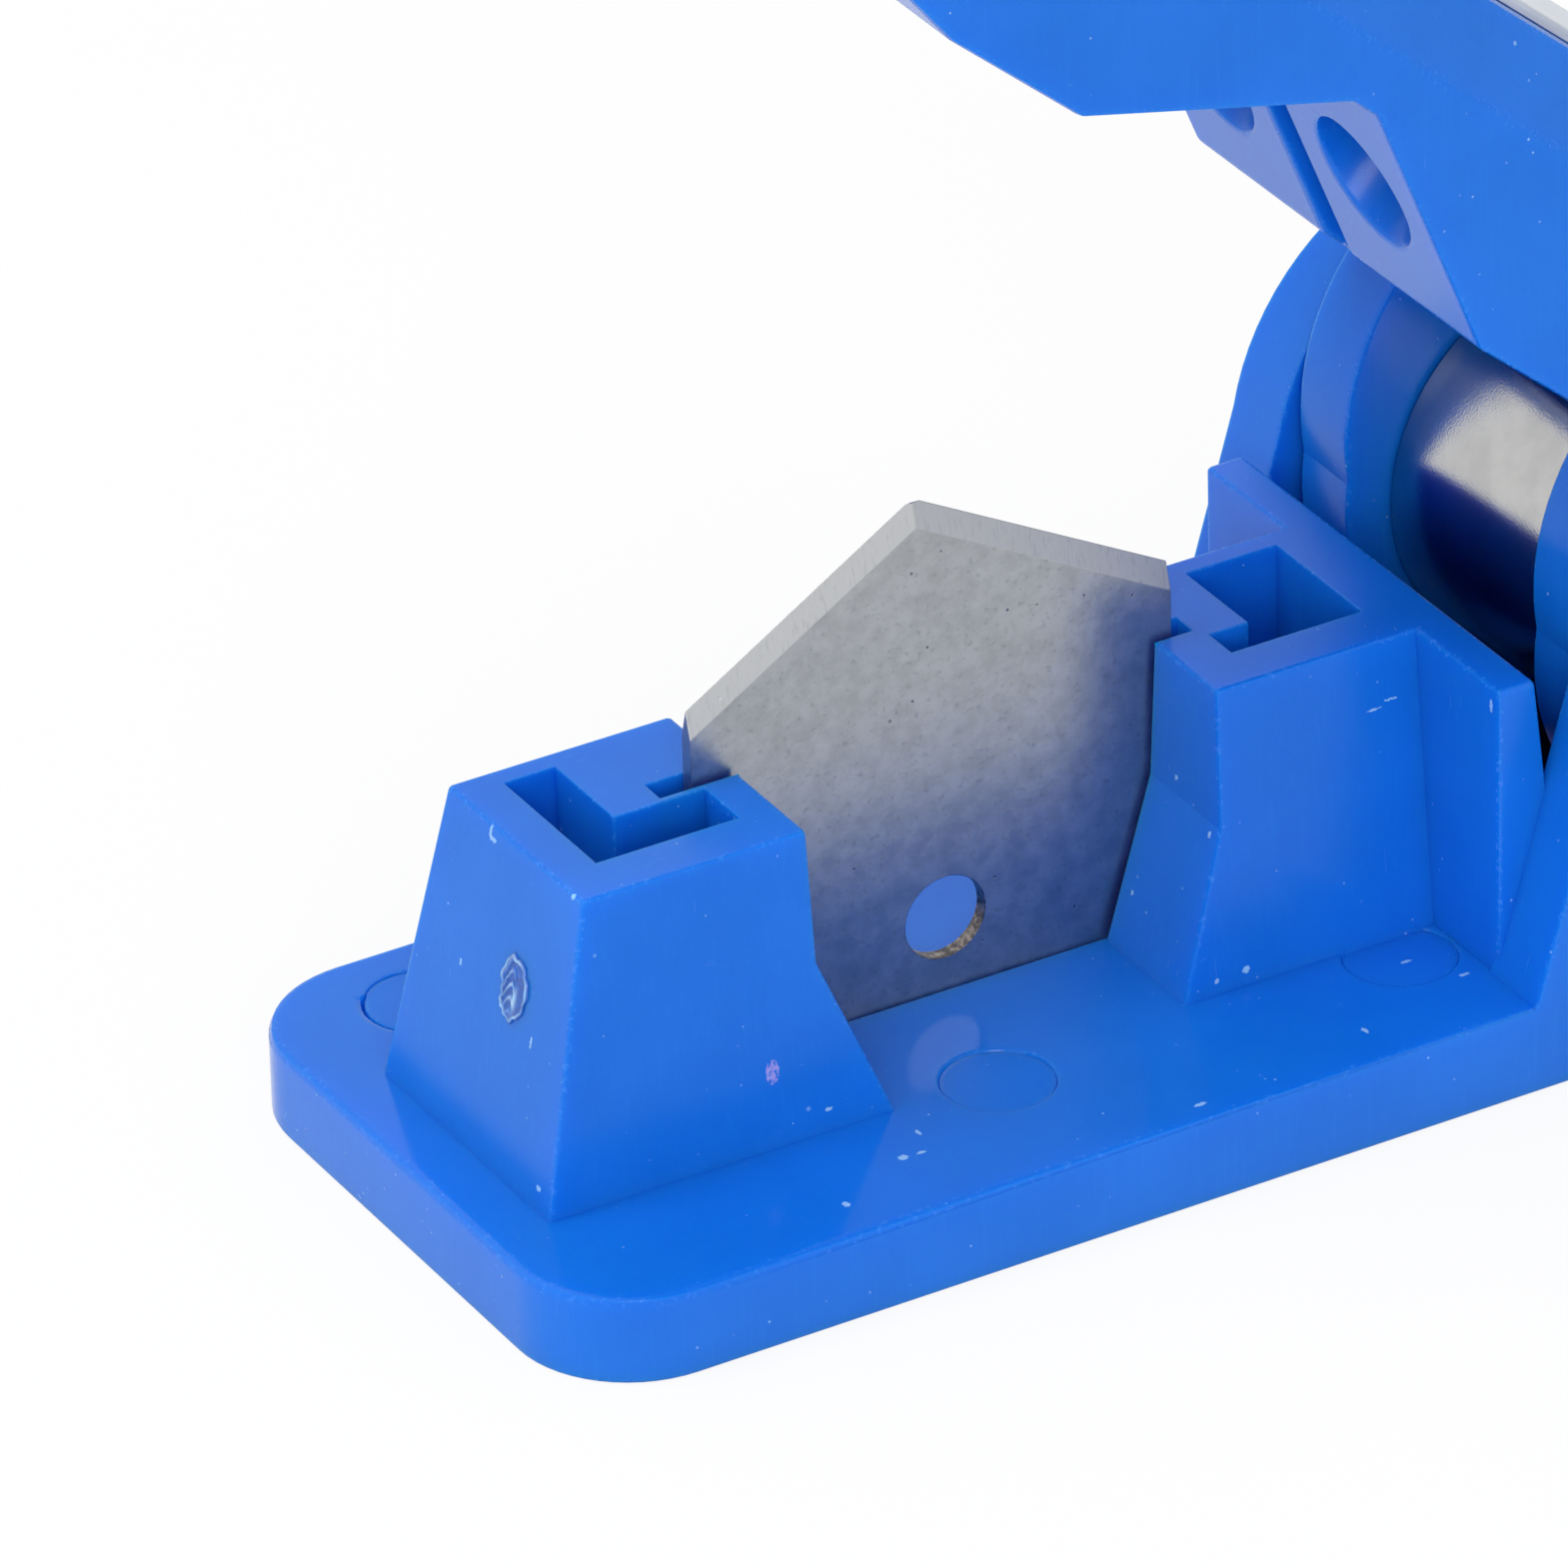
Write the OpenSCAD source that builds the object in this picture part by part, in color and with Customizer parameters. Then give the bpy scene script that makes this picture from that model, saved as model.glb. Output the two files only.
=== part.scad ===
// Tube cutter for pneumatic hose: a base with an upright blade between two posts, and a notched lever.
// A rolled flat spring holds the lever open. The free end of the base is at -X and the hinge at +X.

/* [Base plate] */
// Distance from the free end of the plate to the middle of the blade
front_reach = 20; // [19:0.1:24]
// Distance from the hinge axis to the hinge end of the plate
rear_reach = 13; // [12.6:0.1:16]
// Width of the plate, over the outer faces of the ears
plate_width = 23.6; // [22.6:0.1:28]
// Thickness of the plate
plate_thickness = 3.15; // [2.9:0.05:3.6]
// Corner radius at the free end of the plate
plate_corner_radius = 4.2; // [2:0.1:6]

/* [Blade] */
// Width of the blade
blade_width = 18; // [16:0.1:18.6]
// Thickness of the blade
blade_thickness = 0.54; // [0.4:0.02:0.7]
// Height of the blade's side edges above the plate
blade_side_height = 13.15; // [12:0.05:13.6]
// Slope of the two cutting edges
blade_edge_angle = 30; // [24:1:32]
// Width of the ground bevel along a cutting edge
blade_bevel_width = 0.85; // [0.5:0.05:1.4]
// Diameter of the round hole in the blade
blade_hole_diameter = 3; // [2:0.1:3.6]
// Height of the hole's middle above the plate
blade_hole_height = 2.66; // [2.4:0.02:4]

/* [Posts and wall] */
// Height of both posts and of the cross wall above the plate
post_height = 10.6; // [9.6:0.1:10.9]
// Length of the free post at its top
free_post_length = 8.2; // [7.4:0.1:9]
// Width of the free post at its top
free_post_width = 8.7; // [7.8:0.1:9.6]
// Width of the hinge post at its top
hinge_post_width = 8; // [7.2:0.1:9]
// How far the posts flare out at the plate, towards the blade and the free end
post_flare = 2.2; // [1:0.1:2.2]
// How far both long sides of the posts lean out at the plate
post_draft = 1.1; // [0.4:0.1:1.4]
// Width of the slot in the posts that takes the edge of the blade
post_slot_width = 0.95; // [0.8:0.05:1.3]
// Thickness of the cross wall at its top
wall_thickness = 1.4; // [1.1:0.05:1.6]

/* [Hinge] */
// Distance from the middle of the blade to the hinge axis
hinge_reach = 28; // [27.8:0.1:30]
// Height of the hinge axis above the ground
hinge_height = 12; // [11.8:0.1:12.6]
// Outer radius of the two ears
ear_radius = 9.35; // [9:0.05:9.8]
// Thickness of each ear
ear_thickness = 2.9; // [2.3:0.1:3.2]
// Diameter of the solid hinge pin
pin_diameter = 4; // [3:0.1:4.4]

/* [Spring] */
// Outer radius of the rolled spring where its turns begin
spring_radius = 7.1; // [6.8:0.05:7.4]
// Thickness of the spring strip
spring_thickness = 0.5; // [0.3:0.05:0.55]
// Distance from one turn of the spring to the next
spring_pitch = 1; // [0.98:0.01:1.05]

/* [Lever] */
// Angle at which the lever stands open
open_angle = 40.5; // [36:0.5:41]
// Distance from the hinge axis to the tip of the lever
lever_reach = 54; // [50:0.5:60]
// Height of the lever from its underside to its top
lever_height = 9.6; // [9.4:0.1:11]
// Gap between the lever and the posts when the lever is closed
closed_gap = 0.85; // [0.5:0.05:1.4]
// Width of the notch across its mouth
notch_width = 19.2; // [18:0.1:20]
// Slope of the two flanks of the notch
notch_angle = 27.5; // [24:0.5:29]
// Width of the slot that takes the blade
lever_slot_width = 1.5; // [1.2:0.1:1.8]
// Diameter of the round hollows in the flanks of the notch
flank_hollow_diameter = 4.5; // [3.6:0.1:5]
// Width of the space for the spring between the two cheeks of the lever
cheek_space = 11.2; // [10:0.1:12]

/* [Nameplate] */
// Length of the blank metal nameplate on the lever
nameplate_length = 34; // [20:0.5:38]
// Width of the nameplate
nameplate_width = 11.2; // [8:0.1:12.6]
// Thickness of the nameplate
nameplate_thickness = 0.4; // [0.3:0.05:0.8]

/* [Hidden] */
$fn = 96;

// Clearances and overruns
side_gap = 0.3;
running_gap = 0.05;
seat_gap = 0.01;
strip_gap = 0.1;
chamber_gap = 1.9;
blade_head_gap = 1.4;
blade_end_gap = 1.3;
overrun = 1;

// Places along the plate, counted from its free end
blade_x = front_reach;
hinge_x = front_reach + hinge_reach;
plate_length = hinge_x + rear_reach;
plate_top = plate_thickness;
post_top = plate_top + post_height;
root_share = 0.5;
root = plate_thickness * root_share;
rear_corner_share = 0.6;
rear_corner_radius = plate_corner_radius * rear_corner_share;

// Blade outline
blade_root_share = 0.25;
blade_root = plate_thickness * blade_root_share;
blade_roof = blade_width / 2 * tan(blade_edge_angle);
blade_apex = plate_top + blade_side_height + blade_roof;
blade_blunt_share = 0.016;
blade_blunt = blade_width * blade_blunt_share;
bevel_slope = blade_bevel_width * 2 / blade_thickness;
apex_shift_share = -0.028;
hole_shift_share = 0.016;
apex_x = blade_width * apex_shift_share;
hole_x = blade_width * hole_shift_share;

// Posts, with the depth that they grip the blade's side edges
free_grip_share = 0.09;
hinge_grip_share = 0.044;
slot_end_gaps = [1.25, 0.65];
free_post_in = blade_x - blade_width / 2 + blade_width * free_grip_share;
free_post_out = free_post_in - free_post_length;
hinge_post_in = blade_x + blade_width / 2 - blade_width * hinge_grip_share;
wall_reach_share = 1.305;
wall_x = hinge_x - ear_radius * wall_reach_share;
free_kink_share = 0.56;
hinge_kink_share = 0.54;
hinge_lean_share = 0.09;
inner_flare_share = 1.09;
hinge_flare_share = 0.91;
free_middle_share = -0.052;
hinge_middle_share = -0.038;
wall_bite = 0.1;
wall_near_bite = 0.4;
wall_far_step = 0.3;
wall_corner_share = 0.15;
wall_foot_share = 1.85;
wall_foot = wall_thickness * wall_foot_share;
wall_shoulder_share = 0.55;
wall_shoulder = plate_top + post_height * wall_shoulder_share;

// Pockets in the tops of the posts, as shares of each post's top
pocket_depth_share = 0.75;
pocket_depth = post_height * pocket_depth_share;
corner_pocket_shares = [[0.195, 0.9], [0.42, 0.9], [0.42, 0.466], [0.83, 0.466], [0.83, 0.22], [0.195, 0.22]];
step_pocket_shares = [[0.236, 0.408], [0.431, 0.408], [0.431, 0.888], [0.886, 0.888], [0.886, 0.242], [0.236, 0.242]];

// Shallow round marks that the ejector pins left on the plate
ejector_radius_share = 0.08;
ejector_depth_share = 0.03;
ejector_radius = plate_width * ejector_radius_share;
ejector_depth = plate_thickness * ejector_depth_share;
ejector_shares = [[0.09, 0.352], [0.307, -0.258], [0.554, -0.275]];

// Ears and the stop behind the lever
ear_in = plate_width / 2 - ear_thickness;
ear_flare_angle = 16.6;
ear_drop = hinge_height - plate_top + root;
ear_tuck_share = 0.006;
ear_line = ear_radius * (1 - ear_tuck_share);
ear_foot = (ear_line + ear_drop * sin(ear_flare_angle)) / cos(ear_flare_angle);
rear_foot = min(ear_foot, rear_reach - rear_corner_radius - wall_bite);
rear_turn = acos(ear_line / norm([rear_foot, ear_drop])) - atan2(ear_drop, rear_foot);
stop_reach_share = 1.059;
stop_x = hinge_x + ear_radius * stop_reach_share;
stop_thickness_share = 1.07;
stop_thickness = wall_thickness * stop_thickness_share;
stop_rise_share = 0.21;
stop_top = hinge_height + ear_radius * stop_rise_share;
pin_radius = pin_diameter / 2;
pin_chamfer_share = 0.15;
pin_chamfer = pin_radius * pin_chamfer_share;
pin_inset = pin_chamfer / 2;

// Lever, drawn closed with its hinge axis at the origin: x counts towards the tip
lever_half = ear_in - side_gap;
cheek_in = cheek_space / 2;
under = post_top + closed_gap - hinge_height;
lever_top = under + lever_height;
bevel_drop_share = 0.3;
bevel_inset_share = 0.2;
bevel_low = lever_top - lever_height * bevel_drop_share;
bevel_in = lever_half * (1 - bevel_inset_share);
heel_z = under - side_gap / 1.5;
heel_radius = lever_top - heel_z;
heel_shift_share = 0.22;
heel_x = heel_radius * heel_shift_share;
cheek_radius_share = 0.925;
cheek_radius = heel_radius * cheek_radius_share;
cheek_x = heel_x - heel_radius + cheek_radius;
hub_radius = hinge_height - plate_top - side_gap;
notch_depth = notch_width / 2 * tan(notch_angle);
notch_shift_share = 0.01;
notch_middle = hinge_reach + notch_width * notch_shift_share;
notch_near = notch_middle - notch_width / 2;
notch_far = notch_middle + notch_width / 2;
apex_round_share = 0.03;
apex_step = notch_width * apex_round_share;
slot_reach = blade_width / 2 + blade_end_gap;
slot_top = blade_apex + blade_head_gap - hinge_height;
hollow_rise_share = 0.72;
hollow_place_shares = [0.26, 0.545];
hollow_top = under + lever_height * hollow_rise_share;
hollow_x = notch_width * hollow_place_shares[0];
hollow_y = lever_half * hollow_place_shares[1];
tip_share = 0.3;
tip_radius = lever_height * tip_share;
tip_start_share = 0.375;
tip_start = notch_far + (lever_reach - notch_far) * tip_start_share;
tip_rise_share = 0.5;
tip_rise = tip_radius * tip_rise_share;
chamber_roof_share = 0.8;
chamber_roof = under + lever_height * chamber_roof_share;
chamber_end = spring_radius + chamber_gap;
far = ear_radius * 2;

// Barrel of the lever that carries the inner end of the spring
spring_middle = spring_radius - spring_thickness / 2;
spring_start = 0;
spring_end = 630 - open_angle;
spring_inner = spring_middle - spring_pitch * (spring_end - spring_start) / 360;
barrel_radius = spring_inner - spring_thickness / 2 - side_gap;
tab_depth_share = 0.5;
tab_depth = (barrel_radius - pin_radius) * tab_depth_share;
tab_low = barrel_radius - tab_depth;

// Spring: its foot lies on the plate, one bend leads up into the turns, and the inner end is a tab
spring_half = cheek_in - strip_gap;
foot_z = -(hinge_height - plate_top - spring_thickness / 2 - seat_gap);
bend_radius = -foot_z;
foot_end = wall_x + wall_foot + side_gap * 2 - hinge_x;
bend_steps = 16;
turn_steps = 108;
turn_angle = (spring_end - spring_start) / turn_steps;

nameplate_inset_share = 1.46;
nameplate_start = lever_reach - nameplate_length - lever_height * nameplate_inset_share;
nameplate_corner_share = 0.08;
nameplate_corner = nameplate_width * nameplate_corner_share;

function turn_radius(a) = spring_middle - spring_pitch * (a - spring_start) / 360;
function on_circle(r, a) = [r * cos(a), r * sin(a)];
bend_line = [for (i = [0 : bend_steps - 1])
    [spring_middle - bend_radius, 0] + on_circle(bend_radius, -90 + 90 * i / bend_steps)];
turn_line = [for (i = [0 : turn_steps]) on_circle(turn_radius(i * turn_angle), i * turn_angle)];
strip_line = concat([[foot_end, foot_z]], bend_line, turn_line, [on_circle(tab_low, spring_end)]);

// Direction of the strip before and after a point, and the point's place on either face
function unit(v) = v / norm(v);
function way_in(i) = unit(i == 0 ? strip_line[1] - strip_line[0] : strip_line[i] - strip_line[i - 1]);
function way_out(i) = i == len(strip_line) - 1 ? way_in(i) : unit(strip_line[i + 1] - strip_line[i]);
function across_way(v) = [-v[1], v[0]];
function mitre(i) = (across_way(way_in(i)) + across_way(way_out(i))) / (1 + way_in(i) * way_out(i));
function strip_side(i, side) = strip_line[i] + mitre(i) * side * spring_thickness / 2;

// Least gap from each turn to the next one, measured between points half a turn or more apart
half_turn_steps = floor(turn_steps * 180 / (spring_end - spring_start));
spring_gap = min([for (i = [0 : len(turn_line) - half_turn_steps - 1])
    min([for (j = [i + half_turn_steps : len(turn_line) - 1]) norm(turn_line[i] - turn_line[j])])]) - spring_thickness;
echo(least_gap_between_spring_turns = spring_gap);

// An outline in length and height, drawn across the width
module across(width, middle = 0) {
    translate([0, middle + width / 2, 0])
        rotate([90, 0, 0])
            linear_extrude(height = width) children();
}

// An outline in width and height, drawn along the length
module along(start, length) {
    translate([start, 0, 0])
        rotate([90, 0, 90])
            linear_extrude(height = length) children();
}

// Moves from the free end of the plate to the middle of its underside
module from_free_end() {
    translate([-plate_length / 2, 0, 0]) children();
}

// A rectangle from the origin along x with its own radius at each end
module rounded_strip(length, width, near_radius, far_radius) {
    half = width / 2;
    translate([near_radius, -half]) square([length - near_radius - far_radius, width]);
    translate([0, -half + near_radius]) square([length / 2, width - 2 * near_radius]);
    translate([length / 2, -half + far_radius]) square([length / 2, width - 2 * far_radius]);
    for (turn = [-1, 1]) {
        translate([near_radius, turn * (half - near_radius)]) circle(r = near_radius);
        translate([length - far_radius, turn * (half - far_radius)]) circle(r = far_radius);
    }
}

// Plate with its ejector marks
module plate() {
    difference() {
        linear_extrude(height = plate_thickness)
            rounded_strip(plate_length, plate_width, plate_corner_radius, rear_corner_radius);
        for (p = ejector_shares)
            translate([p[0] * plate_length, p[1] * plate_width, plate_top - ejector_depth])
                cylinder(r = ejector_radius, h = ejector_depth + overrun);
    }
}

// Width and height outline of a post, leaning out towards the plate
module post_section(width, middle) {
    half = width / 2;
    translate([middle, 0])
        polygon([
            [-half - post_draft, -root], [half + post_draft, -root], [half + post_draft, 0],
            [half, post_height], [-half, post_height], [-half - post_draft, 0]
        ]);
}

module free_post() {
    low = free_post_out - post_flare;
    high = free_post_in + post_flare * inner_flare_share;
    kink = post_height * free_kink_share;
    translate([0, 0, plate_top]) intersection() {
        across(plate_width)
            polygon([
                [low, -root], [high, -root], [high, 0], [free_post_in, kink],
                [free_post_in, post_height], [free_post_out, post_height], [low, 0]
            ]);
        along(0, plate_length) post_section(free_post_width, free_post_width * free_middle_share);
    }
}

module hinge_post() {
    low = hinge_post_in - post_flare * hinge_flare_share;
    back = wall_x + wall_thickness / 2;
    kink = post_height * hinge_kink_share;
    translate([0, 0, plate_top]) intersection() {
        across(plate_width)
            polygon([
                [low, -root], [back, -root], [back, post_height],
                [hinge_post_in, post_height], [hinge_post_in - post_flare * hinge_lean_share, kink], [low, 0]
            ]);
        along(0, plate_length) post_section(hinge_post_width, hinge_post_width * hinge_middle_share);
    }
}

// Upright wall between the two ears, thicker at its foot, with the two upper corners rounded
module cross_wall() {
    near = -ear_in - wall_near_bite;
    upper = ear_in - wall_far_step;
    corner = wall_thickness * wall_corner_share;
    low = plate_top - root;
    intersection() {
        across(plate_width)
            polygon([
                [wall_x, low], [wall_x + wall_foot, low], [wall_x + wall_foot, plate_top],
                [wall_x + wall_thickness, post_top], [wall_x, post_top]
            ]);
        along(0, plate_length) union() {
            translate([near, low]) square([ear_in + wall_bite - near, wall_shoulder - low]);
            translate([near, plate_top]) square([upper - near, post_height - corner]);
            translate([near + corner, plate_top]) square([upper - near - 2 * corner, post_height]);
            for (y = [near + corner, upper - corner])
                translate([y, post_top - corner]) circle(r = corner);
        }
    }
}

// Outline of an ear: a round head whose sides run straight down to the plate
module ear_outline() {
    translate([hinge_x, hinge_height]) union() {
        circle(r = ear_radius);
        polygon([
            [-ear_foot, -ear_drop], [rear_foot, -ear_drop],
            on_circle(ear_line, rear_turn), on_circle(ear_line, 180 - ear_flare_angle)
        ]);
    }
}

module ears() {
    for (turn = [-1, 1])
        across(ear_thickness, turn * (plate_width - ear_thickness) / 2) ear_outline();
}

// Low wall behind the heel of the lever, which stops it when open
module rear_stop() {
    half = ear_in + wall_bite;
    translate([stop_x, -half, plate_top - root])
        cube([stop_thickness, 2 * half, stop_top - plate_top + root]);
}

// Pocket in the top of a post, from its table of shares
module pocket(start, length, width, middle, shares) {
    translate([start, middle - width / 2, post_top - pocket_depth])
        linear_extrude(height = pocket_depth + overrun)
            polygon([for (p = shares) [p[0] * length, p[1] * width]]);
}

// Upright slots in the posts and the groove in the plate that hold the blade
module blade_seat() {
    seat = blade_thickness + 2 * seat_gap;
    translate([blade_x - blade_width / 2 - slot_end_gaps[0], -post_slot_width / 2, plate_top])
        cube([blade_width + slot_end_gaps[0] + slot_end_gaps[1], post_slot_width, post_height + overrun]);
    translate([blade_x - blade_width / 2 - seat_gap, -seat / 2, plate_top - blade_root])
        cube([blade_width + 2 * seat_gap, seat, blade_root + overrun]);
}

module base_body() {
    color([0.10, 0.36, 0.86]) from_free_end() difference() {
        union() {
            plate();
            free_post();
            hinge_post();
            cross_wall();
            ears();
            rear_stop();
        }
        blade_seat();
        pocket(free_post_out, free_post_length, free_post_width,
            free_post_width * free_middle_share, corner_pocket_shares);
        pocket(hinge_post_in, wall_x - hinge_post_in, hinge_post_width,
            hinge_post_width * hinge_middle_share, step_pocket_shares);
        translate([hinge_x, 0, hinge_height]) rotate([90, 0, 0])
            cylinder(r = pin_radius + seat_gap, h = plate_width + 2 * overrun, center = true);
    }
}

// Keeps what lies below a sharp ridge along x, for grinding one cutting edge
module edge_wedge() {
    half = blade_thickness;
    along(-blade_width, 2 * blade_width)
        polygon([
            [0, 0], [half, -half * bevel_slope], [half, -2 * blade_width],
            [-half, -2 * blade_width], [-half, -half * bevel_slope]
        ]);
}

module blade() {
    half = blade_width / 2;
    low = plate_top - blade_root;
    side = plate_top + blade_side_height;
    free_slope = atan(blade_roof / (half + apex_x));
    hinge_slope = atan(blade_roof / (half - apex_x));
    blunt_z = blade_apex - blade_blunt * tan(blade_edge_angle);
    color([0.56, 0.58, 0.62]) from_free_end() translate([blade_x, 0, 0]) difference() {
        intersection() {
            across(blade_thickness)
                polygon([
                    [-half, low], [half, low], [half, side],
                    [apex_x + blade_blunt, blunt_z], [apex_x - blade_blunt, blunt_z], [-half, side]
                ]);
            translate([apex_x, 0, blade_apex]) rotate([0, hinge_slope, 0]) edge_wedge();
            translate([apex_x, 0, blade_apex]) rotate([0, -free_slope, 0]) edge_wedge();
        }
        translate([hole_x, 0, plate_top + blade_hole_height]) rotate([90, 0, 0])
            cylinder(d = blade_hole_diameter, h = blade_thickness + 2 * overrun, center = true);
    }
}

module hinge_pin() {
    end = plate_width / 2 - pin_inset;
    color([0.70, 0.71, 0.73]) from_free_end() translate([hinge_x, 0, hinge_height]) rotate([90, 0, 0])
        rotate_extrude()
            polygon([
                [0, -end], [pin_radius - pin_chamfer, -end], [pin_radius, -end + pin_chamfer],
                [pin_radius, end - pin_chamfer], [pin_radius - pin_chamfer, end], [0, end]
            ]);
}

// One flat strip: foot, bend, turns and inner tab
module opening_spring() {
    last = len(strip_line) - 1;
    color([0.66, 0.67, 0.69]) from_free_end() translate([hinge_x, 0, hinge_height])
        across(2 * spring_half)
            polygon(concat(
                [for (i = [0 : last]) strip_side(i, 1)],
                [for (i = [last : -1 : 0]) strip_side(i, -1)]
            ));
}

// Turns the lever, drawn closed at the origin, to its open place on the hinge
module on_hinge() {
    from_free_end() translate([hinge_x, 0, hinge_height])
        rotate([0, open_angle, 0]) mirror([1, 0, 0]) children();
}

// The half of a round outline above or below the heel's middle line
module half_disc(middle, radius, side) {
    intersection() {
        translate([middle, heel_z]) circle(r = radius);
        translate([middle - far, side > 0 ? heel_z : heel_z - far]) square([2 * far, far]);
    }
}

module lever_outline() {
    union() {
        polygon([
            [heel_x, heel_z], [heel_x + heel_radius, heel_z], [heel_x + heel_radius, under], [notch_near, under],
            [notch_middle - apex_step, under + notch_depth - apex_step * tan(notch_angle)],
            [notch_middle + apex_step, under + notch_depth - apex_step * tan(notch_angle)],
            [notch_far, under], [tip_start, under],
            [lever_reach - tip_radius, under + tip_rise], [lever_reach, under + tip_rise + tip_radius],
            [lever_reach, lever_top - tip_radius], [lever_reach - tip_radius, lever_top], [heel_x, lever_top]
        ]);
        translate([lever_reach - tip_radius, lever_top - tip_radius]) circle(r = tip_radius);
        half_disc(heel_x, heel_radius, 1);
        half_disc(cheek_x, cheek_radius, -1);
        circle(r = hub_radius);
    }
}

// Width and height outline of the lever, with both top edges bevelled
module lever_section() {
    polygon([
        [-lever_half, -far], [lever_half, -far], [lever_half, bevel_low],
        [bevel_in, lever_top], [-bevel_in, lever_top], [-lever_half, bevel_low]
    ]);
}

module lever_shell() {
    intersection() {
        across(2 * lever_half) lever_outline();
        along(-far, lever_reach + far) lever_section();
        translate([-far, 0, -far]) linear_extrude(height = 2 * far + lever_top)
            rounded_strip(lever_reach + far, 2 * lever_half, tip_radius, tip_radius);
    }
}

module lever_hollows() {
    translate([hinge_reach - slot_reach, -lever_slot_width / 2, 0])
        cube([2 * slot_reach, lever_slot_width, slot_top]);
    for (turn = [-1, 1])
        for (side = [-1, 1])
            translate([notch_middle + turn * hollow_x, side * hollow_y, 0])
                cylinder(d = flank_hollow_diameter, h = hollow_top);
    translate([-far, -cheek_in, -far])
        cube([far + chamber_end, 2 * cheek_in, far + chamber_roof]);
    translate([-far, -cheek_in, -far])
        cube([far + notch_near - overrun, 2 * cheek_in, far + under]);
}

module lever() {
    color([0.12, 0.40, 0.90]) on_hinge() difference() {
        union() {
            difference() {
                lever_shell();
                lever_hollows();
            }
            rotate([90, 0, 0]) cylinder(r = barrel_radius, h = 2 * cheek_in + wall_bite, center = true);
        }
        translate([-spring_thickness / 2 - strip_gap, -cheek_in, -barrel_radius - overrun])
            cube([spring_thickness + 2 * strip_gap, 2 * cheek_in, overrun + tab_depth + strip_gap]);
        rotate([90, 0, 0])
            cylinder(r = pin_radius + running_gap, h = 2 * (lever_half + overrun), center = true);
    }
}

module nameplate() {
    color([0.80, 0.81, 0.82]) on_hinge()
        translate([nameplate_start, 0, lever_top])
            linear_extrude(height = nameplate_thickness)
                rounded_strip(nameplate_length, nameplate_width, nameplate_corner, nameplate_corner);
}

base_body();
blade();
hinge_pin();
opening_spring();
lever();
nameplate();
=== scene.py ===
"""Tube cutter for pneumatic hose: its looks, piece by piece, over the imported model."""

import math

import bmesh
import bpy
from mathutils import Matrix, Vector


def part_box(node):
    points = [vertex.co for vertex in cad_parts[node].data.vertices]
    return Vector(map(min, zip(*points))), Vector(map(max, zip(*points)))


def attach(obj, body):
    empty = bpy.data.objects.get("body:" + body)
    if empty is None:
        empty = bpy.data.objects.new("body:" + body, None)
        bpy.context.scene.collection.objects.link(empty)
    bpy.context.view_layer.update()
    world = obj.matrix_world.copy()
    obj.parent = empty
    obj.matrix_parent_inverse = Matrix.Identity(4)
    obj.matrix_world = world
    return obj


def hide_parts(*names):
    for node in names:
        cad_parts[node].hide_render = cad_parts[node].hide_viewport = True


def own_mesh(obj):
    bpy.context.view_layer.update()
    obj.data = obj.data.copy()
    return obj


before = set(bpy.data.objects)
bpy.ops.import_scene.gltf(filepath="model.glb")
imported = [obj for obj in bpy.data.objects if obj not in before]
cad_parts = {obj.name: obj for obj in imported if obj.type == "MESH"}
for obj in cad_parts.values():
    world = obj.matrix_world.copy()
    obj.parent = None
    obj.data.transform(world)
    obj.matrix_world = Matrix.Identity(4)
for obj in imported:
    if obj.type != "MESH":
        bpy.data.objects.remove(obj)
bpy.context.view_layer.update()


# Camera: it stands about half a metre away and 30 degrees above the table, towards the free
# end, and looks through a long lens. One turn about the line of sight tips the picture a little.
camera_turn, camera_rise, camera_tip = (math.radians(a) for a in (-29.58086, 30.29532, -1.54597))
eye = Vector((-0.2144997, -0.3497965, 0.2474860))
to_eye = Vector((
    math.sin(camera_turn) * math.cos(camera_rise),
    -math.cos(camera_turn) * math.cos(camera_rise),
    math.sin(camera_rise),
))
level = Vector((math.cos(camera_turn), math.sin(camera_turn), 0))
above = to_eye.cross(level)
picture_right = level * math.cos(camera_tip) + above * math.sin(camera_tip)
picture_up = above * math.cos(camera_tip) - level * math.sin(camera_tip)
camera = bpy.data.objects.new("camera", bpy.data.cameras.new("camera"))
bpy.context.collection.objects.link(camera)
camera.data.sensor_width = 36
camera.data.lens = 333.609
camera.data.clip_start = 0.01
camera_axes = Matrix((picture_right, picture_up, to_eye)).transposed()
camera.matrix_world = Matrix.Translation(eye) @ camera_axes.to_4x4()
bpy.context.scene.camera = camera
bpy.context.scene.view_settings.view_transform = "Standard"


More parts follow.
